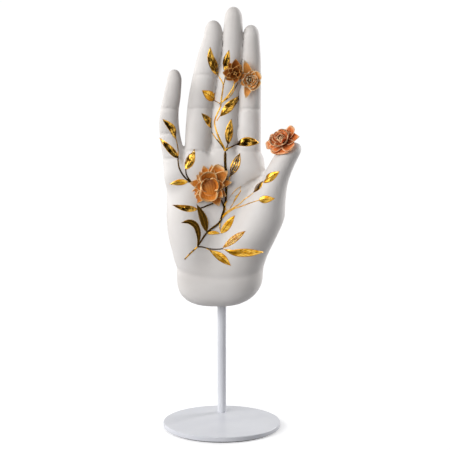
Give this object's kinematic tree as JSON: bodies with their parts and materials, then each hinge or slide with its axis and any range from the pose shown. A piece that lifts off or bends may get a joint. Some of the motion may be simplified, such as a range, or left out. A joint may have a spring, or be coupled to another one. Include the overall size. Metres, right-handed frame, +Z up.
{
  "type": "ceramic hand sculpture on a stand",
  "caption": "Life-size upright porcelain hand, palm forward, with applied blossoms and a gilded flowering branch, on a white steel rod and a round base plate.",
  "frame": {"origin": "centre of the round base's underside, on the surface that the sculpture stands on", "axes": "+Z up along the rod, -Y the way the palm faces, +X towards the thumb"},
  "size_m": [0.1016, 0.0873, 0.3005],
  "materials": {
    "porcelain_white": "matt unglazed white porcelain with painted gold",
    "blossom_amber": "satin coloured porcelain",
    "blossom_gold": "satin coloured porcelain",
    "blossom_coral": "satin coloured porcelain",
    "stand_white": "satin white powder coat on steel",
    "screw_steel": "plain steel",
    "sleeve_nylon": "natural nylon",
    "tube_brass": "drawn brass",
    "plug_resin": "cast resin",
    "pad_rubber": "thin non-slip sheet"
  },
  "bodies": {
    "stand": {"foot_pad": "pad_rubber", "base_plate": "stand_white", "stand_rod": "stand_white", "rod_screw": "screw_steel"},
    "sleeve": {"turning_sleeve": "sleeve_nylon"},
    "hand": {"socket_tube": "tube_brass", "tube_stop": "tube_brass", "wrist_plug": "plug_resin", "hand_shell": "porcelain_white", "palm_blossom_outer_petals": "blossom_amber", "palm_blossom_inner_petals": "blossom_amber", "palm_blossom_bud": "blossom_amber", "thumb_blossom_outer_petals": "blossom_coral", "thumb_blossom_inner_petals": "blossom_coral", "thumb_blossom_bud": "blossom_coral", "middle_finger_blossom_outer_petals": "blossom_amber", "middle_finger_blossom_inner_petals": "blossom_amber", "middle_finger_blossom_bud": "blossom_amber", "index_finger_blossom_outer_petals": "blossom_gold", "index_finger_blossom_inner_petals": "blossom_gold", "index_finger_blossom_bud": "blossom_gold"}
  },
  "joints": [
    {"name": "hand_turn", "type": "hinge", "parent": "stand", "child": "sleeve", "pos_m": [0, 0.025, 0.0845], "axis": [0, 0, 1], "continuous": true},
    {"name": "hand_lift", "type": "slide", "parent": "sleeve", "child": "hand", "axis": [0, 0, 1], "range_m": [0, 0.043]}
  ]
}
